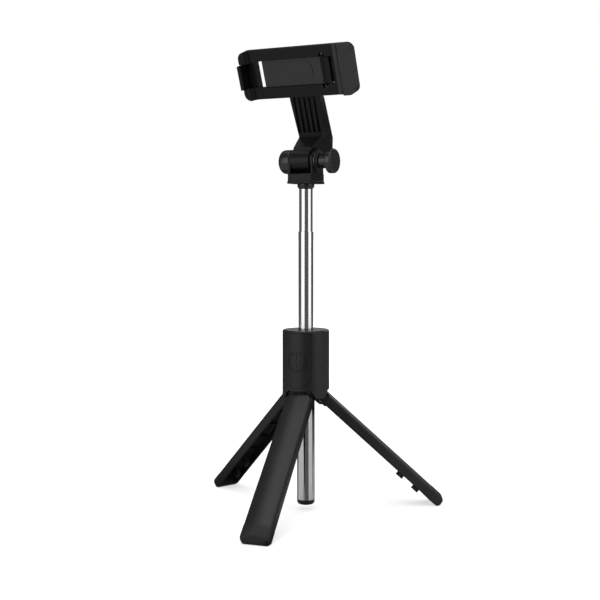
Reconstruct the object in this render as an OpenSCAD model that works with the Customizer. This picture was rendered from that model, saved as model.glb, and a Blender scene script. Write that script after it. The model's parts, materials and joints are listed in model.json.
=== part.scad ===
// Tripod selfie stick: a telescopic pole on three folding legs, with a tilting phone clamp.
// Millimetres. Z is up along the pole, the floor is z = 0, and the phone clamp faces -Y.

/* [Pole] */
// Outside diameter of the outer tube
outer_tube_d = 12.5; // [12:0.1:14]
// Wall thickness of every tube
tube_wall = 0.4; // [0.3:0.05:0.5]
// Height of the outer tube's lower end above the floor
tube_foot = 7.5; // [6:0.5:12]
// How far the middle tube stands out of the collar
middle_out = 68.7; // [66:0.1:80]
// How far the upper tube stands out of the middle tube
upper_out = 29.6; // [29:0.1:40]

/* [Collar] */
// Outside diameter of the collar
collar_d = 33; // [32:0.5:34]
// Height of the collar's top face
collar_top = 128.5; // [126:0.5:130]
// Wall thickness of the collar's shell
collar_wall = 1.8; // [1.5:0.1:2]
// Turn of the legs about the pole, from the clamp's front
base_turn = 8.5; // [0:0.5:15]
// Turn of the remote about the pole, from the clamp's front
remote_turn = 5.5; // [0:0.5:15]

/* [Legs] */
// Angle of an open leg from the pole
leg_open = 47.3; // [40:0.1:50]
// Distance of a leg's pin from the pole's axis
leg_pin_r = 9.3; // [9.3:0.1:9.8]
// Half width of a leg at its top
leg_half_top = 9.3; // [9:0.1:9.6]
// Half width of a leg at its foot
leg_half_foot = 10; // [9.6:0.1:10.4]
// Depth of a leg's channel at its crown
leg_depth = 8.4; // [8:0.1:8.6]
// Length of a leg from its pin to the end of its foot
leg_length = 117.2; // [117:0.1:118]

/* [Head] */
// Forward lean of the arm and the clamp
lean = 21; // [15:0.5:25]
// Height of the tilt hinge above the upper tube's end
hinge_rise = 19; // [19:0.5:21]
// Half width of the yoke across its ears
yoke_half = 9.5; // [9.5:0.1:10]
// Radius of the tilt knob
knob_r = 8.5; // [8:0.1:9]
// Width of the arm
arm_w = 23.5; // [22:0.5:24]
// Sideways place of the arm's middle
arm_x = -1; // [-1.5:0.1:0]

/* [Clamp] */
// Half length of the closed clamp
clamp_half = 43.1; // [43:0.1:44]
// Half height of the clamp
clamp_rise = 17.2; // [17:0.1:18]
// Distance of the clamp's middle from the tilt hinge
clamp_reach = 60.4; // [60:0.1:62]
// Distance of the clamp's bars behind the tilt hinge
clamp_back = 10.3; // [10:0.1:11]
// Thickness of the clamp's bars
bar_t = 4.5; // [4.4:0.1:5]
// Height of the jaws in front of the bars
jaw_h = 3.5; // [3:0.1:4]

/* [Hidden] */
$fn = 64;

// running fit, as a radius
fit = 0.03;
tube_r = outer_tube_d / 2;
tube_step = 0.5;
lower_r = tube_r - tube_step;
middle_r = lower_r - tube_step;
upper_r = middle_r - tube_step;
tube_top = collar_top - 1.6;
lower_top = collar_top - 0.2;
middle_top = collar_top + middle_out;
upper_top = middle_top + upper_out;
glide_h = 4;

collar_r = collar_d / 2;
collar_in = collar_r - collar_wall;
shell_top = collar_top - 1.5;
lobe_z = 81;
arch_z = 86.6;
remote_half = 9.4;
remote_low = 97.8;
remote_floor = 8.9;
button_z = 107;
button_r = 5.8;

leg_pin_z = leg_length * cos(leg_open) - 1;
leg_wall = 1.5;
lug_half = 7.6;
knuckle_half = 4.1;
knuckle_r = 2.5;
pin_r = 1;
rib_pitch = 16;
crown_r = 22;
turns = [0, 120, -120];

hinge_z = upper_top + hinge_rise;
lip_z = upper_top + 3.5;
barrel_r = 8.3;
bolt_r = 2;
arm_front = clamp_back + bar_t + 1;

window_half = 9.4;
window_left = -31.6;
window_right = 27;
frame_end = 27.9;
rod_z = 13.3;
claw_x = -41.5;
flap_x = 19.6;
swivel_z = 0;

// ---- helpers ----

module ring(r_out, r_in, low, high) {
    translate([0, 0, low])
        difference() {
            cylinder(r = r_out, h = high - low);
            translate([0, 0, -1]) cylinder(r = r_in, h = high - low + 2);
        }
}

// a plate of an outline drawn in X and Z, from y = near to y = far
module upright(near, far) {
    translate([0, far, 0]) rotate([90, 0, 0]) linear_extrude(far - near) children();
}

// a bar of an outline drawn in Y and Z, from x = left to x = right
module across(left, right) {
    translate([left, 0, 0]) rotate([90, 0, 90]) linear_extrude(right - left) children();
}

module rod_x(r, left, right) {
    translate([left, 0, 0]) rotate([0, 90, 0]) cylinder(r = r, h = right - left);
}

module rod_y(r, near, far) {
    translate([0, near, 0]) rotate([-90, 0, 0]) cylinder(r = r, h = far - near);
}

// the outline of the remote: straight sides on a round lower end
module remote_outline(half, top) {
    translate([0, remote_low]) circle(r = half);
    translate([-half, remote_low]) square([2 * half, top - remote_low]);
}

module rounded_box(w, h, r) {
    square([w - 2 * r, h], center = true);
    square([w, h - 2 * r], center = true);
    for (x = [-1, 1], y = [-1, 1])
        translate([x * (w / 2 - r), y * (h / 2 - r)]) circle(r = r);
}

module at_leg(i) {
    rotate([0, 0, base_turn + turns[i]])
        translate([0, -leg_pin_r, leg_pin_z]) rotate([-leg_open, 0, 0]) children();
}

module at_remote() {
    rotate([0, 0, remote_turn]) children();
}

module at_hinge() {
    translate([0, 0, hinge_z]) children();
}

module at_arm() {
    at_hinge() rotate([lean, 0, 0]) children();
}

// x along the clamp, -y out of its front, z up its face; y = 0 is the front of the bars
module at_clamp() {
    at_arm() translate([0, clamp_back, clamp_reach]) children();
}

// ---- pole ----

module tube(r, low, high) {
    lip = 0.15;
    rotate_extrude()
        polygon([[r - tube_wall, low], [r - lip, low], [r, low + lip], [r, high - lip],
            [r - lip, high], [r - tube_wall, high]]);
}

// a plastic plug in a tube's lower end, whose flange runs in the next tube out
module glide(r, low) {
    bore_r = r + tube_step - tube_wall;
    rotate_extrude()
        polygon([[r - 2, low - glide_h], [bore_r - fit, low - glide_h], [bore_r - fit, low],
            [r - tube_wall - 0.01, low], [r - tube_wall - 0.01, low + glide_h],
            [r - 2, low + glide_h]]);
}

module outer_tube() {
    color("silver") tube(tube_r, tube_foot, tube_top);
}

module tube_end_cap() {
    cap_h = 3.5;
    plug_r = tube_r - tube_wall - 0.01;
    color([0.08, 0.08, 0.08])
        translate([0, 0, tube_foot - cap_h])
            rotate_extrude()
                polygon([[0, 0], [tube_r - 1.8, 0], [tube_r - 0.8, 0.4], [tube_r - 0.2, 1.2],
                    [tube_r, 2], [tube_r, cap_h], [plug_r, cap_h], [plug_r, cap_h + 5.5],
                    [0, cap_h + 5.5]]);
}

lower_low = tube_foot + 10;
middle_low = middle_top - 101;
upper_low = upper_top - 92;

module lower_tube() {
    color("silver") tube(lower_r, lower_low, lower_top);
}

module lower_glide() {
    color([0.2, 0.2, 0.2]) glide(lower_r, lower_low);
}

module middle_tube() {
    color("silver") tube(middle_r, middle_low, middle_top);
}

module middle_glide() {
    color([0.2, 0.2, 0.2]) glide(middle_r, middle_low);
}

module upper_tube() {
    color("silver") tube(upper_r, upper_low, upper_top);
}

module upper_glide() {
    color([0.2, 0.2, 0.2]) glide(upper_r, upper_low);
}

// ---- collar ----

// the clearance for one leg, drawn across the collar's lower edge
module leg_arch_outline() {
    half = leg_half_top + 1;
    r = 3.2;
    translate([-half, lobe_z - 2]) square([2 * half, arch_z - r - lobe_z + 2]);
    translate([r - half, arch_z - r - 1]) square([2 * (half - r), r + 1]);
    for (side = [-1, 1]) {
        translate([side * (half - r), arch_z - r]) circle(r = r);
        translate([side * half, 0])
            polygon([[-side, lobe_z - 2], [-side, lobe_z + 2.6], [0, lobe_z + 2.6],
                [side * 2.4, lobe_z - 0.1], [side * 2.4, lobe_z - 2]]);
    }
}

module collar_shell() {
    color([0.09, 0.09, 0.09])
        difference() {
            ring(collar_r, collar_in, lobe_z, shell_top);
            for (turn = turns)
                rotate([0, 0, base_turn + turn])
                    upright(-collar_r - 1, -6) leg_arch_outline();
            at_remote()
                upright(-collar_r - 1, -6) remote_outline(remote_half + 0.2, shell_top + 1);
        }
}

module collar_cap() {
    chamfer = 0.8;
    hole = lower_r + 0.15;
    color([0.12, 0.12, 0.12])
        difference() {
            rotate_extrude($fn = 96)
                polygon([[hole, shell_top], [hole, collar_top], [collar_r - chamfer, collar_top],
                    [collar_r, collar_top - chamfer], [collar_r, shell_top],
                    [collar_in - 0.02, shell_top], [collar_in - 0.02, shell_top - 2.5],
                    [collar_in - 1.3, shell_top - 2.5], [collar_in - 1.3, shell_top]]);
            // the skirt stops at the remote
            at_remote()
                translate([-remote_half - 0.6, -collar_r - 1, shell_top - 4])
                    cube([2 * remote_half + 1.2, 12, 4]);
        }
}

module collar_core() {
    core_r = collar_in - 0.1;
    core_low = 87.7;
    core_high = shell_top - 2.7;
    color([0.15, 0.15, 0.15])
        difference() {
            ring(core_r, tube_r + 0.02, core_low, core_high);
            at_remote() {
                upright(-core_r - 1, -remote_floor + 0.2)
                    remote_outline(remote_half + 0.35, core_high + 1);
                translate([0, 0, 95]) rod_y(2.52, -remote_floor, -remote_floor + 1.7);
            }
            // the back of the core is cored out into three pockets
            for (turn = [95, 180, 265])
                rotate([0, 0, turn])
                    translate([-5, -core_r + 1.5, core_low + 2])
                        cube([10, 4.6, core_high - core_low + 1]);
        }
}

module cradle_magnet() {
    color("gray")
        at_remote() translate([0, 0, 95]) rod_y(2.5, -remote_floor + 0.2, -remote_floor + 1.7);
}

// the ring that carries the three leg pins on six lugs
module hinge_block() {
    plate_low = 84.9;
    plate_high = 87.6;
    color([0.13, 0.13, 0.13]) {
        difference() {
            union() {
                ring(12.4, tube_r + 0.02, plate_low, plate_high);
                for (turn = [60, 180, 300])
                    rotate([0, 0, base_turn + turn])
                        translate([-3.4, -collar_in + 0.6, plate_low])
                            cube([6.8, 4, plate_high - plate_low]);
                for (turn = turns)
                    rotate([0, 0, base_turn + turn])
                        translate([0, -leg_pin_r, leg_pin_z])
                            for (side = [-1, 1]) hinge_lug(side, plate_high - leg_pin_z);
            }
            translate([0, 0, plate_low - 1]) cylinder(r = tube_r + 0.02, h = 5);
            for (turn = turns)
                rotate([0, 0, base_turn + turn])
                    translate([0, -leg_pin_r, leg_pin_z]) rod_x(pin_r + 0.01, -9, 9);
        }
    }
}

module hinge_lug(side, rise) {
    lug_in = knuckle_half + 0.3;
    left = side > 0 ? lug_in : -lug_half;
    rod_x(knuckle_r, left, left + lug_half - lug_in);
    translate([left, -knuckle_r, 0]) cube([lug_half - lug_in, 2 * knuckle_r, rise]);
}

module leg_pins() {
    color("silver")
        for (turn = turns)
            rotate([0, 0, base_turn + turn])
                translate([0, -leg_pin_r, leg_pin_z]) rod_x(pin_r, -7.5, 7.5);
}

// ---- legs ----

// how far a leg's crown has fallen at a distance from its middle
function crown_fall(x) = crown_r - sqrt(crown_r * crown_r - x * x);

// a slice across a leg at a height: arched crown, round corners and an open inner side
module leg_slice(z, half, depth) {
    r = 1.6;
    for (k = [-3 : 3])
        translate([k * (half - r) / 3, r - depth + crown_fall(k * (half - r) / 3), z])
            cylinder(r = r, h = 0.01, $fn = 20);
    for (side = [-1, 1])
        translate([side * (half - 0.3), -0.3, z]) cylinder(r = 0.3, h = 0.01, $fn = 16);
}

module leg_body(grow, low, high) {
    taper = (leg_half_foot - leg_half_top) / leg_length;
    hull() {
        leg_slice(low, leg_half_top - low * taper + grow, leg_depth + grow);
        leg_slice(high, leg_half_top - high * taper + grow, leg_depth + grow);
    }
}

module leg(i) {
    leg_end = -112;
    color([0.08, 0.08, 0.08])
        at_leg(i)
            difference() {
                union() {
                    difference() {
                        intersection() {
                            leg_body(0, leg_end, 0.5);
                            translate([-15, -15, leg_end - 1]) cube([30, 15, 130]);
                        }
                        translate([0, 0.01, 0]) leg_body(-leg_wall, leg_end - 1, 2);
                    }
                    leg_ribs();
                    leg_catches();
                    rod_x(knuckle_r, -knuckle_half, knuckle_half);
                    translate([-knuckle_half, 0.5 - leg_depth, -6])
                        cube([2 * knuckle_half, leg_depth + 0.5, 6]);
                }
                rod_x(pin_r + 0.05, -9, 9);
                for (side = [-1, 1]) leg_shoulder(side);
            }
}

// rounds one upper corner of the crown
module leg_shoulder(side) {
    r = 5.5;
    upright(-leg_depth - 1, -5.2)
        difference() {
            translate([side > 0 ? leg_half_top - r : -leg_half_top - 1, 0.5 - r])
                square([r + 1, r + 1]);
            translate([side * (leg_half_top - r), 0.5 - r]) circle(r = r);
        }
}

module leg_ribs() {
    rib_t = 1.2;
    intersection() {
        leg_body(-0.6, -112, 0);
        for (k = [0 : 5])
            translate([-leg_half_top, -leg_depth, -25 - k * rib_pitch])
                cube([2 * leg_half_top, 3.8, rib_t]);
    }
}

module leg_catches() {
    for (z = [-85, -100.5])
        translate([-1.1, -leg_depth + 1, z]) cube([2.2, leg_depth + 1.6, 5.4]);
}

// a rubber shoe over the leg's end, cut flat where it stands on the floor
module foot(i) {
    foot_top = -106;
    color([0.1, 0.1, 0.1])
        difference() {
            at_leg(i)
                difference() {
                    foot_body(foot_top);
                    leg_body(0.02, -112.02, foot_top + 1);
                    translate([-leg_half_top + 2, -leg_depth + 3.4, -112.02])
                        cube([2 * leg_half_top - 4, leg_depth + 3, 20]);
                }
            translate([-150, -150, -20]) cube([300, 300, 20]);
        }
}

module foot_body(foot_top) {
    grow = 0.15;
    r = 2.6;
    half = leg_half_foot + grow;
    hull() {
        leg_slice(foot_top, half - 0.1, leg_depth + grow);
        leg_slice(-leg_length + 3, half, leg_depth + grow);
        for (side = [-1, 1])
            for (y = [-leg_depth - grow + 1.7 + r, 0.4 - r])
                translate([side * (half - r), y, -leg_length + r]) sphere(r = r, $fn = 24);
    }
}

module front_leg() { leg(0); }
module right_leg() { leg(1); }
module left_leg() { leg(2); }
module front_foot() { foot(0); }
module right_foot() { foot(1); }
module left_foot() { foot(2); }

// ---- head ----

module neck() {
    plug_r = upper_r - tube_wall - 0.01;
    color([0.1, 0.1, 0.1])
        rotate_extrude()
            polygon([[2.51, upper_top - 9], [plug_r, upper_top - 9], [plug_r, upper_top],
                [upper_r + 0.1, upper_top], [upper_r + 1.2, upper_top + 1.6],
                [upper_r + 1.2, lip_z - 0.1], [2.51, lip_z - 0.1]]);
}

module neck_bolt() {
    color("gray")
        rotate_extrude()
            polygon([[0, upper_top - 8], [2.5, upper_top - 8], [2.5, lip_z + 4.3],
                [4.2, lip_z + 4.3], [4.2, lip_z + 6.4], [0, lip_z + 6.4]]);
}

module yoke() {
    floor_z = lip_z + 6.8;
    ear_t = 1.4;
    color([0.12, 0.12, 0.12])
        difference() {
            union() {
                translate([0, 0, lip_z])
                    linear_extrude(1.7) rounded_box(2 * yoke_half + 0.8, 20.2, 1.4);
                translate([0, 0, lip_z])
                    linear_extrude(floor_z - lip_z) rounded_box(2 * yoke_half, 19.4, 1);
                for (left = [-yoke_half, yoke_half - ear_t]) {
                    at_hinge() rod_x(barrel_r, left, left + ear_t);
                    translate([left, -barrel_r, floor_z - 1])
                        cube([ear_t, 2 * barrel_r, hinge_z - floor_z + 1]);
                }
            }
            at_hinge() rod_x(bolt_r + 0.05, -12, 12);
            translate([0, 0, lip_z - 1]) cylinder(r = 2.55, h = 10);
            translate([0, 0, lip_z + 4.25]) cylinder(r = 4.4, h = 10);
        }
}

module left_cap() {
    left = -18.5;
    r = 8.4;
    color([0.1, 0.1, 0.1])
        at_hinge()
            difference() {
                rotate([0, 90, 0])
                    rotate_extrude()
                        polygon([[0, left], [r - 3, left], [r - 1.5, left + 0.5], [r - 0.5, left + 1.5],
                            [r, left + 3], [r, -yoke_half - 0.1], [0, -yoke_half - 0.1]]);
                rod_x(bolt_r + 0.05, left + 1.6, 0);
                rotate([0, 90, 0]) translate([0, 0, -14.52]) cylinder(r = 4.02, h = 3.34, $fn = 6);
            }
}

module hinge_nut() {
    color("gray")
        at_hinge()
            difference() {
                rotate([0, 90, 0]) translate([0, 0, -14.5]) cylinder(r = 4, h = 3.3, $fn = 6);
                rod_x(bolt_r + 0.05, -15, -10);
            }
}

module friction_washer() {
    color([0.6, 0.6, 0.58])
        at_hinge()
            difference() {
                rod_x(5.6, 6, 8);
                rod_x(bolt_r + 0.05, 5, 9);
            }
}

module ear_ring() {
    color([0.1, 0.1, 0.1])
        at_hinge()
            difference() {
                union() {
                    rod_x(7.8, yoke_half + 0.05, yoke_half + 1.1);
                    rod_x(6.4, yoke_half + 1, yoke_half + 2.2);
                }
                rod_x(bolt_r + 0.05, 9, 14);
            }
}

module tilt_knob() {
    boss_left = 11.9;
    disc_left = 18.2;
    outer = 23;
    color([0.1, 0.1, 0.1])
        at_hinge()
            difference() {
                rotate([0, 90, 0])
                    rotate_extrude()
                        polygon([[0, boss_left], [5, boss_left], [5, disc_left],
                            [knob_r - 0.6, disc_left], [knob_r, disc_left + 0.5],
                            [knob_r, outer - 0.8], [knob_r - 0.8, outer], [0, outer]]);
                rod_x(bolt_r + 0.01, 11, outer - 2);
            }
}

module hinge_bolt() {
    color("silver") at_hinge() rod_x(bolt_r, -15.6, 20.8);
}

// the arm's outline from the side: from the hinge back to the elbow and up behind the clamp
module arm_link_outline() {
    polygon([[-1, barrel_r - 0.1], [0.5, 10.3], [15, 13.4], [arm_front, 15.5], [23, 21],
        [25.4, 9.5], [24.7, 5], [22.6, 1.9], [12, -2], [5, -6.6], [0, -5]]);
}

// a flat slice of the arm across its width
module arm_slice(front_half, back_half, front, back, z) {
    linear_extrude(0.01)
        polygon([[arm_x - front_half, front], [arm_x + front_half, front],
            [arm_x + back_half, back], [arm_x - back_half, back]]);
}

module arm() {
    half = arm_w / 2;
    top = clamp_reach + half;
    color([0.07, 0.07, 0.07])
        at_arm()
            difference() {
                union() {
                    rod_x(barrel_r, -8, 5.9);
                    across(-8, 5.9) arm_link_outline();
                    arm_elbow(half);
                    // the plate behind the clamp, with a round top
                    upright(arm_front, arm_front + 5.2) {
                            translate([arm_x, clamp_reach]) circle(r = half);
                            translate([arm_x - half, 40]) square([2 * half, clamp_reach - 40]);
                        }
                }
                rod_x(bolt_r + 0.05, -10, 10);
                // room for the ears and the rings on the hinge
                rod_x(9.4, -19, -8);
                rod_x(9.4, 5.9, 19);
                arm_grooves();
                translate([arm_x, 0, clamp_reach]) rod_y(4.05, arm_front - 1, arm_front + 7);
                translate([arm_x, 0, clamp_reach]) rod_y(6.2, arm_front + 4.1, arm_front + 7);
            }
}

// the wide part: from the front of the hinge to the elbow, then narrowing in depth upward
module arm_elbow(half) {
    lower_half = 9.2;
    hull() {
        translate([0, 0, 13.4]) arm_slice(lower_half, half, 14.9, 25, 0);
        translate([0, 0, 16]) arm_slice(lower_half + 0.4, half, arm_front, 24.6, 0);
        translate([0, 0, 40]) arm_slice(half, half, arm_front, arm_front + 6.6, 0);
    }
    hull() {
        translate([0, 0, 13.4]) arm_slice(lower_half, half, 14.9, 25, 0);
        translate([0, 0, 10.2]) arm_slice(7, 7, 0.5, 6, 0);
        translate([0, 0, 9]) arm_slice(half, half, 20, 25.4, 0);
        translate([0, 0, -0.3]) arm_slice(half - 0.6, half - 0.6, 13, 22.6, 0);
        translate([0, 0, 5.5]) arm_slice(lower_half, lower_half, 8, 12, 0);
    }
}

// five grooves down the arm's front leave the raised ribs
module arm_grooves() {
    for (k = [-2 : 2])
        translate([arm_x + k * 3.9 - 1.25, arm_front - 1, 16.5]) cube([2.5, 2.1, 27]);
}

// ---- phone clamp ----

// the section of a jaw's inner side: a hollow curve from the bars up to the rim
module jaw_curve(inner, foot, r) {
    difference() {
        square_between(inner, foot, -jaw_h, 0.01);
        translate([foot, -jaw_h]) scale([(foot - inner) / r, jaw_h / r]) circle(r = r);
    }
}

module square_between(x0, x1, y0, y1) {
    translate([min(x0, x1), y0]) square([abs(x1 - x0), y1 - y0]);
}

module holder_frame() {
    left = -clamp_half;
    color([0.09, 0.09, 0.09])
        at_clamp()
            difference() {
                intersection() {
                    union() {
                        translate([left, 0, -clamp_rise])
                            cube([frame_end - left, bar_t, 2 * clamp_rise]);
                        translate([0, 0, -clamp_rise])
                            linear_extrude(2 * clamp_rise) {
                                square_between(left, -37.6, -jaw_h, 1);
                                jaw_steps(-37.6, -33.4);
                            }
                    }
                    upright(-10, 10) clamp_outline();
                }
                // the window
                translate([window_left, -jaw_h - 1, -window_half])
                    cube([window_right - window_left, 12, 2 * window_half]);
                // seats for the right claw's hinge
                for (side = [-1, 1])
                    translate([flap_x, 0, side * (window_half + 0.4)]) rod_y(2.2, -1, 3.4);
                // recess for the left claw, open at the frame's end
                translate([left - 1, -jaw_h - 1, -8.7])
                    cube([window_left - left - 0.2, jaw_h + 3.1, 17.4]);
                // slot in the end wall for the jaw's tongue
                translate([window_right - 1, 2.9, -window_half]) cube([3, 3, 2 * window_half]);
                // bores for the guide rods and the springs beside them
                for (side = [-1, 1]) {
                    translate([0, bar_t / 2, side * rod_z]) rod_x(1.25, -21, frame_end + 1);
                }
                translate([claw_x, 0.5, -12.5]) cylinder(r = 0.81, h = 25);
                translate([flap_x, 1.7, -11.7]) cylinder(r = 0.61, h = 23.4);
            }
}

// a hollow curve in three steps of a polygon, from the rim down to the bars
module jaw_steps(rim, foot) {
    span = foot - rim;
    polygon([for (k = [0 : 8]) [rim + span * (1 - cos(k * 11.25)), -jaw_h * (1 - sin(k * 11.25))],
        [foot, 0.5], [rim, 0.5]]);
}

module clamp_outline() {
    rounded_box(2 * clamp_half, 2 * clamp_rise, 5);
}

module slide_jaw() {
    left = 28.4;
    right = clamp_half;
    color([0.09, 0.09, 0.09])
        at_clamp() {
            difference() {
                intersection() {
                    union() {
                        translate([left, 0, -clamp_rise])
                            cube([right - left, bar_t, 2 * clamp_rise]);
                        translate([0, 0, -clamp_rise])
                            linear_extrude(2 * clamp_rise) {
                                square_between(33.8, right, -jaw_h, 1);
                                jaw_steps(33.8, 29.6);
                            }
                    }
                    upright(-10, 10) clamp_outline();
                }
                for (side = [-1, 1])
                    translate([0, bar_t / 2, side * rod_z]) rod_x(1.21, left - 1, 38);
            }
            // the tongue that closes the window behind the right claw
            translate([18.6, 3.4, -window_half + 0.3])
                cube([left - 18.5, 1, 2 * window_half - 0.6]);
        }
}

module guide_rods() {
    color("silver")
        at_clamp()
            for (side = [-1, 1])
                translate([0, bar_t / 2, side * rod_z]) rod_x(1.2, -1.5, 37.9);
}

// closely wound springs in the rods' bores, each drawn as its sleeve
module jaw_springs() {
    color("gray")
        at_clamp()
            for (side = [-1, 1])
                translate([0, bar_t / 2, side * rod_z])
                    difference() {
                        rod_x(1.2, -20.5, -2);
                        rod_x(0.8, -21, -1);
                    }
}

module back_plate() {
    color([0.16, 0.16, 0.16])
        at_clamp()
            translate([-27.7, 1.5, -window_half + 0.01])
                cube([45.7, bar_t - 1.5, 2 * window_half - 0.02]);
}

module grip_pad() {
    color([0.14, 0.14, 0.14])
        at_clamp()
            upright(1.1, 1.49) translate([-5.4, 0]) rounded_box(33, 15, 7);
}

module swivel_hub() {
    color([0.1, 0.1, 0.1])
        at_clamp()
            translate([arm_x, 0, swivel_z])
                difference() {
                    union() {
                        rod_y(10.5, bar_t + 0.01, bar_t + 0.9);
                        rod_y(4, bar_t + 0.5, bar_t + 5);
                    }
                    rod_y(1.51, bar_t + 0.6, bar_t + 6);
                }
}

module swivel_screw() {
    color("gray")
        at_clamp()
            translate([arm_x, 0, swivel_z]) {
                rod_y(1.5, bar_t + 0.7, bar_t + 5.5);
                rod_y(5.6, bar_t + 5.2, bar_t + 6);
            }
}

module left_claw_pin() {
    color("silver") at_clamp() translate([claw_x, 0.5, -12.4]) cylinder(r = 0.8, h = 24.8);
}

module right_claw_pin() {
    color("silver") at_clamp() translate([flap_x, 1.7, -11.6]) cylinder(r = 0.6, h = 23.2);
}

module left_claw() {
    color([0.08, 0.08, 0.08])
        at_clamp()
            translate([claw_x, 0.5, 0])
                difference() {
                    union() {
                        translate([-1.3, -8, -8.4]) cube([2.6, 8, 16.8]);
                        translate([0, 0, -8.4]) cylinder(r = 1.3, h = 16.8);
                    }
                    translate([0, 0, -9]) cylinder(r = 0.85, h = 18);
                }
}

module right_claw() {
    color([0.08, 0.08, 0.08])
        at_clamp()
            translate([flap_x, 1.7, 0])
                difference() {
                    union() {
                        translate([0, -1, -8.9]) cube([4.9, 2, 17.8]);
                        translate([0, 0, -10.9]) cylinder(r = 1.4, h = 21.8);
                    }
                    translate([0, 0, -12]) cylinder(r = 0.65, h = 24);
                }
}

// ---- remote ----

remote_top = shell_top - 0.2;
split_y = -12;

module remote_front() {
    wall = 1.2;
    color([0.09, 0.09, 0.09])
        at_remote()
            difference() {
                intersection() {
                    upright(-collar_r - 1, split_y) remote_outline(remote_half, remote_top);
                    translate([0, 0, 80]) cylinder(r = collar_r, h = 50, $fn = 128);
                }
                intersection() {
                    upright(-collar_r - 1, split_y + 1)
                        remote_outline(remote_half - wall, remote_top - wall);
                    translate([0, 0, 80]) cylinder(r = collar_r - wall, h = 50);
                }
                translate([0, 0, button_z]) rod_y(button_r + 0.15, -collar_r - 1, -10);
                // the ring groove around the button
                translate([0, 0, button_z])
                    difference() {
                        rod_y(7.2, -collar_r - 1, -10);
                        rod_y(6.8, -collar_r - 2, -9);
                        translate([0, 0, -30]) cylinder(r = collar_r - 0.35, h = 60, $fn = 128);
                    }
            }
}

module remote_back() {
    wall = 1.2;
    color([0.1, 0.1, 0.1])
        at_remote()
            difference() {
                upright(split_y + 0.01, -remote_floor) remote_outline(remote_half, remote_top);
                upright(split_y - 1, -remote_floor - 0.8)
                    remote_outline(remote_half - wall, remote_top - wall);
            }
}

module remote_board() {
    color("darkgreen")
        at_remote()
            upright(-12.6, -11.8)
                translate([0, -0.1]) intersection() {
                    remote_outline(remote_half - 1.5, remote_top - 1.5);
                    translate([-20, 100]) square([40, 25]);
                }
}

module shutter_switch() {
    color("silver")
        at_remote()
            translate([0, 0, button_z]) {
                translate([-2.2, -12.9, -2.2]) cube([4.4, 0.29, 4.4]);
                rod_y(1, -13, -12.8);
            }
}

module coin_cell() {
    color("silver") at_remote() translate([0, 0, 111]) rod_y(7, -11.7, -10);
}

module battery_spring() {
    color("gold") at_remote() translate([-2, -9.95, 97.6]) cube([4, 0.2, 20]);
}

module status_lamp() {
    color("red") at_remote() translate([-0.8, -13.2, 119]) cube([1.6, 0.59, 0.8]);
}

module shutter_button() {
    color([0.07, 0.07, 0.07])
        at_remote()
            difference() {
                union() {
                    intersection() {
                        translate([0, 0, button_z]) rod_y(button_r, -collar_r - 1, -13.5);
                        translate([0, 0, 80]) cylinder(r = collar_r, h = 50, $fn = 128);
                    }
                    translate([0, 0, button_z]) rod_y(6.5, -13.75, -13.4);
                }
                for (span = [[0.9, 6], [-4.1, -1.3]])
                    translate([-0.3, -collar_r - 1, button_z + span[0]])
                        cube([0.6, 1.35, span[1] - span[0]]);
            }
}

outer_tube();
tube_end_cap();
collar_shell();
collar_cap();
collar_core();
hinge_block();
leg_pins();
cradle_magnet();
front_leg();
right_leg();
left_leg();
front_foot();
right_foot();
left_foot();
lower_tube();
lower_glide();
middle_tube();
middle_glide();
upper_tube();
upper_glide();
neck();
neck_bolt();
yoke();
left_cap();
hinge_nut();
friction_washer();
ear_ring();
tilt_knob();
hinge_bolt();
arm();
holder_frame();
back_plate();
grip_pad();
swivel_hub();
swivel_screw();
left_claw_pin();
right_claw_pin();
jaw_springs();
slide_jaw();
guide_rods();
left_claw();
right_claw();
remote_front();
remote_back();
remote_board();
shutter_switch();
coin_cell();
battery_spring();
status_lamp();
shutter_button();
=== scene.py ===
# %% [markdown]
# A tripod selfie stick: a bright steel pole that telescopes through a black collar, three folding
# legs, a push-button remote in the collar, and a phone clamp on a tilting arm.
# The true shapes come from the frame. This lesson gives them soft moulded edges, real finishes,
# coiled springs, a studio and a camera.

# %% Load the frame
import json
import math
import bmesh
import bpy
import numpy as np
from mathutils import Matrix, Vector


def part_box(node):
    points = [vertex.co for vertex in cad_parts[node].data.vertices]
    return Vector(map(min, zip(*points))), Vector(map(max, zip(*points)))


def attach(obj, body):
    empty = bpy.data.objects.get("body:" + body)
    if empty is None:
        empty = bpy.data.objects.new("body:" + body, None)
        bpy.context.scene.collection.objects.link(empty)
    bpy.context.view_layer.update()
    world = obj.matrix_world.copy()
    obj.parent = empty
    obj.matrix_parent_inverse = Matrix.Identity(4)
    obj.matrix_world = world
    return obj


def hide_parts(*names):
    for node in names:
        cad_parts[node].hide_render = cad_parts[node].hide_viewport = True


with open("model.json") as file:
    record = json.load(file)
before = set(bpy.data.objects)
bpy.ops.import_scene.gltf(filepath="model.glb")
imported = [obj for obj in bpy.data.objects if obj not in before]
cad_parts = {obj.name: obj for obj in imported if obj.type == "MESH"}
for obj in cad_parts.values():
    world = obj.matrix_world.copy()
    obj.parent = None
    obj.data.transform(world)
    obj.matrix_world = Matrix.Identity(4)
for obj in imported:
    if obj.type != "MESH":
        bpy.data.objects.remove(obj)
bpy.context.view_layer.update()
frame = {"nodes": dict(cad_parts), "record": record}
record = frame["record"]
body_of_node = {n: b for b, nodes in record["behaviour"]["bodies"].items() for n in nodes}
slot_of_node = {s["node"]: s["material_slot"] for s in record["subparts"]}
joints = {j["name"]: j for j in record["behaviour"]["joints"]}

# %% [markdown]
# Shader maths reads best as plain expressions. One small class wraps a socket, so that
# grain * 0.2 + 0.1 adds the Math nodes by itself.

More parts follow.
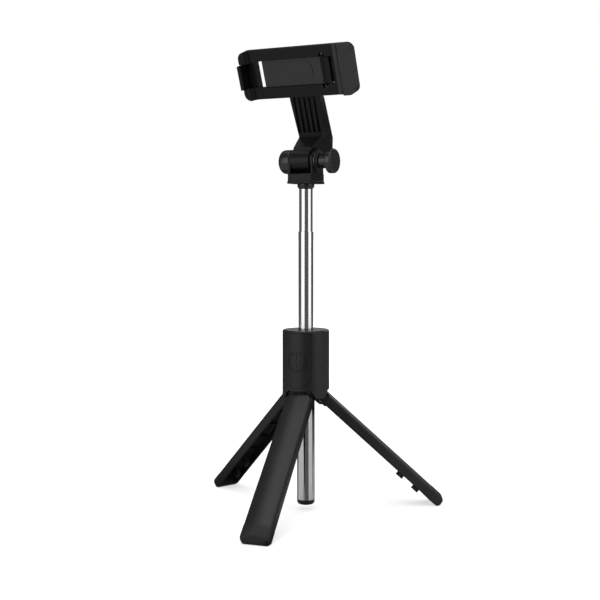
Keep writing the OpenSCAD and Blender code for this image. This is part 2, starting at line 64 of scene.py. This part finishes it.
# %% Sockets as values
class Value:
    """A socket that can be added and multiplied like a number, from either side."""

    def __init__(self, tree, socket):
        self.tree = tree
        self.socket = socket

    def math(self, operation, a, b):
        return self.tree.node("ShaderNodeMath", {"operation": operation}, {0: a, 1: b})

    def __add__(self, other):
        return self.math("ADD", self, other)

    def __radd__(self, other):
        return self.math("ADD", other, self)

    def __mul__(self, other):
        return self.math("MULTIPLY", self, other)

    def __rmul__(self, other):
        return self.math("MULTIPLY", other, self)


class Finish:
    """A material under construction, with one method that adds any node."""

    def __init__(self, name):
        self.material = bpy.data.materials.new(name)
        self.material.use_nodes = True
        self.nodes = self.material.node_tree.nodes
        self.links = self.material.node_tree.links
        self.shader = self.nodes["Principled BSDF"]

    def node(self, kind, settings=None, inputs=None, output=0):
        made = self.nodes.new(kind)
        for key, value in (settings or {}).items():
            setattr(made, key, value)
        for key, value in (inputs or {}).items():
            self.put(made.inputs[key], value)
        return Value(self, made.outputs[output])

    def put(self, socket, value):
        if isinstance(value, Value):
            self.links.new(value.socket, socket)
        else:
            socket.default_value = value

    def set(self, **values):
        for key, value in values.items():
            self.put(self.shader.inputs[key.replace("_", " ")], value)

    def place(self):
        return self.node("ShaderNodeTexCoord", output="Object")

    def noise(self, scale, detail=3.0, at=None):
        return self.node("ShaderNodeTexNoise", None,
                         {"Vector": at or self.place(), "Scale": scale, "Detail": detail})

    def mix(self, factor, first, second):
        return self.node("ShaderNodeMix", {"data_type": "RGBA"}, {0: factor, 6: first, 7: second},
                         output=2)

    def bump(self, height, distance, strength=0.5):
        return self.node("ShaderNodeBump", None,
                         {"Height": height, "Distance": distance, "Strength": strength})

print("helpers ready")

# %% [markdown]
# Moulded plastic is black with a fine spark-eroded grain of about a fifth of a millimetre. The
# grain could be modelled, but a bump is enough at this size. Broad, faint noise in the colour and
# the roughness keeps large faces from looking like paint.

# %% Moulded plastics
def moulded(name, dark, light, rough, grain, depth, gloss=0.32):
    """Black plastic: colour goes from dark to light by broad noise, and roughness = rough plus a
    little of that noise and of the grain."""
    f = Finish(name)
    broad = f.noise(60.0, 4.0)
    fine = f.noise(grain, 2.0)
    f.set(Base_Color=f.mix(broad, dark + (1,), light + (1,)),
          Roughness=broad * 0.10 + fine * 0.06 + (rough - 0.08),
          Normal=f.bump(fine, depth, 0.45), IOR=1.49, Specular_IOR_Level=gloss)
    return f.material

finishes = {
    "black_plastic": moulded("satin_black", (0.014, 0.014, 0.015), (0.022, 0.022, 0.023),
                             0.37, 4200.0, 0.00003, 0.30),
    # painted shade: a darker copy of the satin black, for the clamp parts that face down into
    # shade
    "shade_painted_black": moulded("shade_painted_black", (0.005, 0.005, 0.006), (0.009, 0.009, 0.010),
                          0.34, 4200.0, 0.00003, 0.22),
    "glossy_black": moulded("glossy_black", (0.010, 0.010, 0.011), (0.016, 0.016, 0.017),
                            0.26, 4200.0, 0.00002, 0.62),
    "black_soft": moulded("matt_black", (0.012, 0.012, 0.013), (0.020, 0.020, 0.021),
                          0.52, 3600.0, 0.00004),
    "rubber": moulded("foot_rubber", (0.013, 0.013, 0.013), (0.020, 0.020, 0.020),
                      0.55, 2600.0, 0.00006),
    "nylon": moulded("glide_nylon", (0.09, 0.09, 0.088), (0.13, 0.13, 0.125),
                     0.5, 3000.0, 0.00003),
}
print("plastics", len(finishes))

# %% [markdown]
# The tubes are drawn steel, plated bright. Drawing and polishing leave hair-fine lines along the
# tube, so the noise is squeezed across the axis and stretched along it.

# %% Metals and small parts
def drawn_metal(name, colour, rough, stretch):
    """Bright metal: fine lines along Z, from noise whose Z is scaled down by stretch."""
    f = Finish(name)
    squeezed = f.node("ShaderNodeMapping", None,
                      {"Vector": f.place(), "Scale": (1.0, 1.0, stretch)})
    lines = f.noise(2400.0, 3.0, squeezed)
    broad = f.noise(45.0, 3.0)
    low = tuple(c * 0.9 for c in colour)
    f.set(Base_Color=f.mix(broad, low + (1,), colour + (1,)), Metallic=1.0,
          Roughness=lines * 0.07 + broad * 0.04 + rough,
          Normal=f.bump(lines, 0.000006, 0.3))
    return f.material

finishes["chrome"] = drawn_metal("plated_tube", (0.80, 0.80, 0.81), 0.06, 0.02)
finishes["steel"] = drawn_metal("bright_steel", (0.60, 0.61, 0.63), 0.2, 0.3)
finishes["copper"] = drawn_metal("spring_bronze", (0.78, 0.52, 0.22), 0.22, 0.5)
finishes["board"] = moulded("solder_mask", (0.01, 0.10, 0.04), (0.02, 0.16, 0.06),
                            0.3, 900.0, 0.00002)
finishes["lamp"] = moulded("lamp_lens", (0.45, 0.02, 0.015), (0.6, 0.05, 0.03),
                           0.15, 500.0, 0.00001)
finishes["ferrite"] = moulded("ferrite_grey", (0.10, 0.10, 0.11), (0.16, 0.16, 0.17),
                              0.6, 2000.0, 0.00004)
print("finishes", sorted(finishes))

# %% [markdown]
# No moulded part has a knife edge: a small round, here 0.1 to 0.9 mm, catches a thin line of
# light, and that line is most of what the eye reads on a black object. Each such part is copied,
# its triangles are joined to clean faces, and a Bevel modifier rounds what is sharp.

# %% Soften the moulded parts
# The clamp's parts take the darker black, which is painted shade for the shade they sit in.
shade_painted_parts = ("arm", "holder_frame", "left_claw", "right_claw", "yoke")
shiny_parts = ("left_cap", "tilt_knob", "ear_ring", "neck", "slide_jaw", "back_plate",
               "grip_pad")

def finish_of(node):
    """The parts that carry the clamp take a darker copy of the black, painted shade for the shade
    they sit in; the head's small ones take more gloss. The rest take the finish of their slot in
    the record."""
    if node in shade_painted_parts:
        return finishes["shade_painted_black"]
    return finishes["glossy_black" if node in shiny_parts else slot_of_node[node]]

sharp = math.radians(35)

def softened(node, width):
    """A merged copy of a part whose edges over 35 degrees get a round of this width."""
    source = frame["nodes"][node]
    mesh = source.data.copy()
    mesh.materials.clear()
    bm = bmesh.new()
    bm.from_mesh(mesh)
    bmesh.ops.remove_doubles(bm, verts=bm.verts, dist=2e-6)
    bmesh.ops.dissolve_limit(bm, angle_limit=math.radians(0.8), verts=bm.verts, edges=bm.edges)
    for face in bm.faces:
        face.smooth = True
    for edge in bm.edges:
        edge.smooth = len(edge.link_faces) == 2 and edge.calc_face_angle(0) < sharp
    bm.to_mesh(mesh)
    bm.free()
    piece = bpy.data.objects.new(node + "_soft", mesh)
    bpy.context.scene.collection.objects.link(piece)
    rounder = piece.modifiers.new("edge_round", "BEVEL")
    rounder.width = width
    rounder.segments = 3
    rounder.limit_method = "ANGLE"
    rounder.angle_limit = sharp
    rounder.harden_normals = True
    mesh.materials.append(finish_of(node))
    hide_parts(node)
    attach(piece, body_of_node[node])
    return piece

edge_rounds = {
    "holder_frame": 0.0006, "slide_jaw": 0.0009, "back_plate": 0.0003, "left_claw": 0.0004,
    "right_claw": 0.0003, "arm": 0.0005, "yoke": 0.0003, "left_cap": 0.0007,
    "ear_ring": 0.0002, "tilt_knob": 0.0005, "neck": 0.0002, "collar_shell": 0.0004,
    "collar_cap": 0.0002, "remote_front": 0.0002, "shutter_button": 0.00025,
    "front_leg": 0.0003, "right_leg": 0.0003, "left_leg": 0.0003,
    "front_foot": 0.0003, "right_foot": 0.0003, "left_foot": 0.0003, "hinge_block": 0.0002,
    "tube_end_cap": 0.0002, "grip_pad": 0.0001,
}
soft_parts = [softened(node, width) for node, width in edge_rounds.items()]
print("softened", len(soft_parts))

# %% [markdown]
# The other parts keep their own meshes and only get their finish.

# %% Finish the parts that stay
for node, obj in frame["nodes"].items():
    if node in edge_rounds:
        continue
    finish = finish_of(node)
    if not obj.material_slots:
        obj.data.materials.append(finish)
    for material_slot in obj.material_slots:
        material_slot.material = finish
print("finished", len(frame["nodes"]) - len(edge_rounds))

# %% [markdown]
# Two springs pull the jaw shut. Each is a wire carried along a helix: a circle of the wire's
# radius stands on a point that turns round the clamp's length as it moves along it.

# %% Wind the springs
def coil(x_low, x_high, centre, out, up, radius, wire, turns):
    """Points of a coil: angle a runs along the helix, angle b round the wire.
    Distance from the coil's axis = radius + wire cos b; place along X = helix + wire sin b."""
    steps = turns * 18 + 1
    a = np.linspace(0, 2 * math.pi * turns, steps)[:, None]
    b = np.linspace(0, 2 * math.pi, 8, endpoint=False)[None, :]
    along = x_low + wire + (x_high - x_low - 2 * wire) * a / a.max() + wire * np.sin(b)
    away = radius + wire * np.cos(b) + 0 * a
    spot = centre + (away * np.cos(a))[..., None] * out + (away * np.sin(a))[..., None] * up
    spot[..., 0] = along
    return spot

def grid_mesh(name, spot):
    """Faces between neighbouring rows, closed round each row, with a cap on each end."""
    rows, cols = spot.shape[:2]
    index = np.arange(rows * cols).reshape(rows, cols)
    around = np.roll(index, -1, axis=1)
    quads = np.stack([index[:-1], index[1:], around[1:], around[:-1]], -1)
    faces = quads.reshape(-1, 4).tolist()
    faces += [index[0].tolist(), index[-1][::-1].tolist()]
    mesh = bpy.data.meshes.new(name)
    mesh.from_pydata(spot.reshape(-1, 3).tolist(), [], faces)
    bm = bmesh.new()
    bm.from_mesh(mesh)
    bmesh.ops.recalc_face_normals(bm, faces=bm.faces)
    bm.to_mesh(mesh)
    bm.free()
    mesh.polygons.foreach_set("use_smooth", np.ones(len(mesh.polygons), bool))
    return mesh

spring_out = 0.00225
spring_rise = 0.0133
coil_radius = 0.00098
wire_radius = 0.0002
coil_turns = 24

clamp_out = np.array(joints["clamp_spin"]["axis"])
clamp_up = np.array(joints["left_claw_fold"]["axis"])
clamp_mid = np.array(joints["clamp_spin"]["pos_m"])
spring_low, spring_high = (np.array(c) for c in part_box("jaw_springs"))
coils = []
for side in (-1, 1):
    centre = clamp_mid + clamp_out * spring_out + clamp_up * spring_rise * side
    coils.append(coil(spring_low[0], spring_high[0], centre, clamp_out, clamp_up,
                      coil_radius, wire_radius, coil_turns))
spring_meshes = [grid_mesh("jaw_spring_%d" % k, spot) for k, spot in enumerate(coils)]
for mesh in spring_meshes:
    spring = bpy.data.objects.new(mesh.name, mesh)
    bpy.context.scene.collection.objects.link(spring)
    mesh.materials.append(finishes["steel"])
    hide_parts("jaw_springs")
    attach(spring, "holder")
print("springs", [len(m.polygons) for m in spring_meshes])

# %% [markdown]
# The studio is a pale floor under a white surround. It comes in two sheets, as a photographer
# would lay a bright sweep to be seen and a reflector to light from below: the seen one is lit
# from within to meet the white surround, and only the camera sees it. The other is a pair of
# plain pale fans, left and right, that the camera doesn't see. Bright metal shows the grey room
# in the gaps between the fans as the dark lines between its lights.

# %% Floor
def floor_finish():
    """The seen floor: matt white that glows more with distance, from 0.62 to 1.12."""
    f = Finish("studio_floor")
    distance = f.node("ShaderNodeVectorMath", {"operation": "LENGTH"}, {0: f.place()},
                      output="Value")
    far = f.node("ShaderNodeMapRange", {"interpolation_type": "SMOOTHSTEP"},
                 {"Value": distance, "From Min": 0.25, "From Max": 1.1})
    f.set(Base_Color=(0.80, 0.80, 0.80, 1), Roughness=0.9, Specular_IOR_Level=0.0,
          Emission_Color=f.mix(far, (0.55, 0.55, 0.55, 1), (1, 1, 1, 1)), Emission_Strength=1.12)
    return f.material

def reflector_finish():
    """The reflector: matt, pale, with a very faint mottling."""
    f = Finish("studio_reflector")
    f.set(Base_Color=f.mix(f.noise(3.0), (0.68, 0.68, 0.68, 1), (0.74, 0.74, 0.74, 1)),
          Roughness=0.9, Specular_IOR_Level=0.0)
    return f.material

def fan(name, start, stop, radius, height, finish):
    """A level fan: a rim at sin and -cos of the turns from start to stop, and its middle."""
    a = np.radians(np.linspace(start, stop, 49))
    rim = np.stack([radius * np.sin(a), -radius * np.cos(a), np.full(a.shape, height)], -1)
    spot = np.concatenate([[[0.0, 0.0, height]], rim])
    faces = [(0, k, k + 1) for k in range(1, len(a))]
    mesh = bpy.data.meshes.new(name)
    mesh.from_pydata(spot.tolist(), [], faces)
    mesh.materials.append(finish)
    obj = bpy.data.objects.new(name, mesh)
    bpy.context.scene.collection.objects.link(obj)
    return obj

floor = fan("floor", 0, 360, 14.0, 0.0, floor_finish())
floor.visible_diffuse = floor.visible_glossy = floor.visible_shadow = False
pale = reflector_finish()
for name, start, stop in (("left_fan", -85, 12), ("right_fan", 63, 160)):
    fan(name, start, stop, 1.4, -0.0004, pale).visible_camera = False
print("floor", floor.name)

# %% [markdown]
# Two tall soft lights stand left and right of the camera, and a third hangs above. Bright metal
# shows them as two white bands with a dark line between, and black plastic shows them as its
# edges.

# %% Lights
middle_height = 0.17

def soft_light(name, turn, rise, distance, width, height, power):
    """A tall rectangle of light at a turn about the pole and a rise, facing the stick's middle."""
    a, e = math.radians(turn), math.radians(rise)
    away = np.array([math.sin(a) * math.cos(e), -math.cos(a) * math.cos(e), math.sin(e)])
    lamp = bpy.data.lights.new(name, "AREA")
    lamp.shape = "RECTANGLE"
    lamp.size = width
    lamp.size_y = height
    lamp.energy = power
    obj = bpy.data.objects.new(name, lamp)
    obj.location = tuple(away * distance + np.array([0, 0, middle_height]))
    obj.rotation_euler = (math.radians(90 - rise), 0, a)
    bpy.context.scene.collection.objects.link(obj)
    return obj

camera_turn = 28.0
soft_light("left_light", camera_turn - 48, 8, 1.5, 1.5, 1.5, 9.5)
soft_light("right_light", camera_turn + 64, 8, 1.5, 1.3, 1.5, 8.0)
soft_light("top_light", camera_turn, 89.5, 1.6, 1.6, 1.6, 14)
soft_light("front_light", camera_turn - 8, 52, 1.3, 0.7, 0.5, 3.2)
soft_light("rear_fill", camera_turn + 150, 25, 1.6, 0.9, 0.9, 3.0)
behind = soft_light("behind_light", camera_turn + 180, 7, 1.6, 0.5, 0.35, 0.5)
behind.visible_camera = False

# %% [markdown]
# The surround is white where the camera looks straight at it and grey to everything else, so that
# the metal keeps its dark lines against a white page.

# %% Surround
world = bpy.data.worlds.new("surround")
world.use_nodes = True
sky = world.node_tree
back = sky.nodes["Background"]
back.inputs["Color"].default_value = (0.10, 0.10, 0.10, 1)
seen = sky.nodes.new("ShaderNodeBackground")
seen.inputs["Color"].default_value = (1, 1, 1, 1)
ray = sky.nodes.new("ShaderNodeLightPath")
pick = sky.nodes.new("ShaderNodeMixShader")
sky.links.new(ray.outputs["Is Camera Ray"], pick.inputs[0])
sky.links.new(back.outputs[0], pick.inputs[1])
sky.links.new(seen.outputs[0], pick.inputs[2])
sky.links.new(pick.outputs[0], sky.nodes["World Output"].inputs["Surface"])
bpy.context.scene.world = world
bpy.context.scene.view_settings.view_transform = "Standard"
print("surround", world.name)

# %% [markdown]
# The camera stands a little to the right of the clamp's front, at two thirds of the stick's
# height, and looks slightly down. A long lens keeps the pole straight.

# %% Camera
lens = bpy.data.cameras.new("camera")
lens.sensor_width = 36
lens.lens = 67.3
lens.shift_x = -0.0098
camera_distance = 0.7867
camera_height = 0.2019
camera_pitch = 3.84
camera = bpy.data.objects.new("camera", lens)
turn = math.radians(camera_turn)
camera.location = (camera_distance * math.sin(turn), -camera_distance * math.cos(turn),
                   camera_height)
camera.rotation_euler = (math.radians(90 - camera_pitch), 0, turn)
bpy.context.scene.collection.objects.link(camera)
bpy.context.scene.camera = camera
print("camera", tuple(round(v, 4) for v in camera.location))
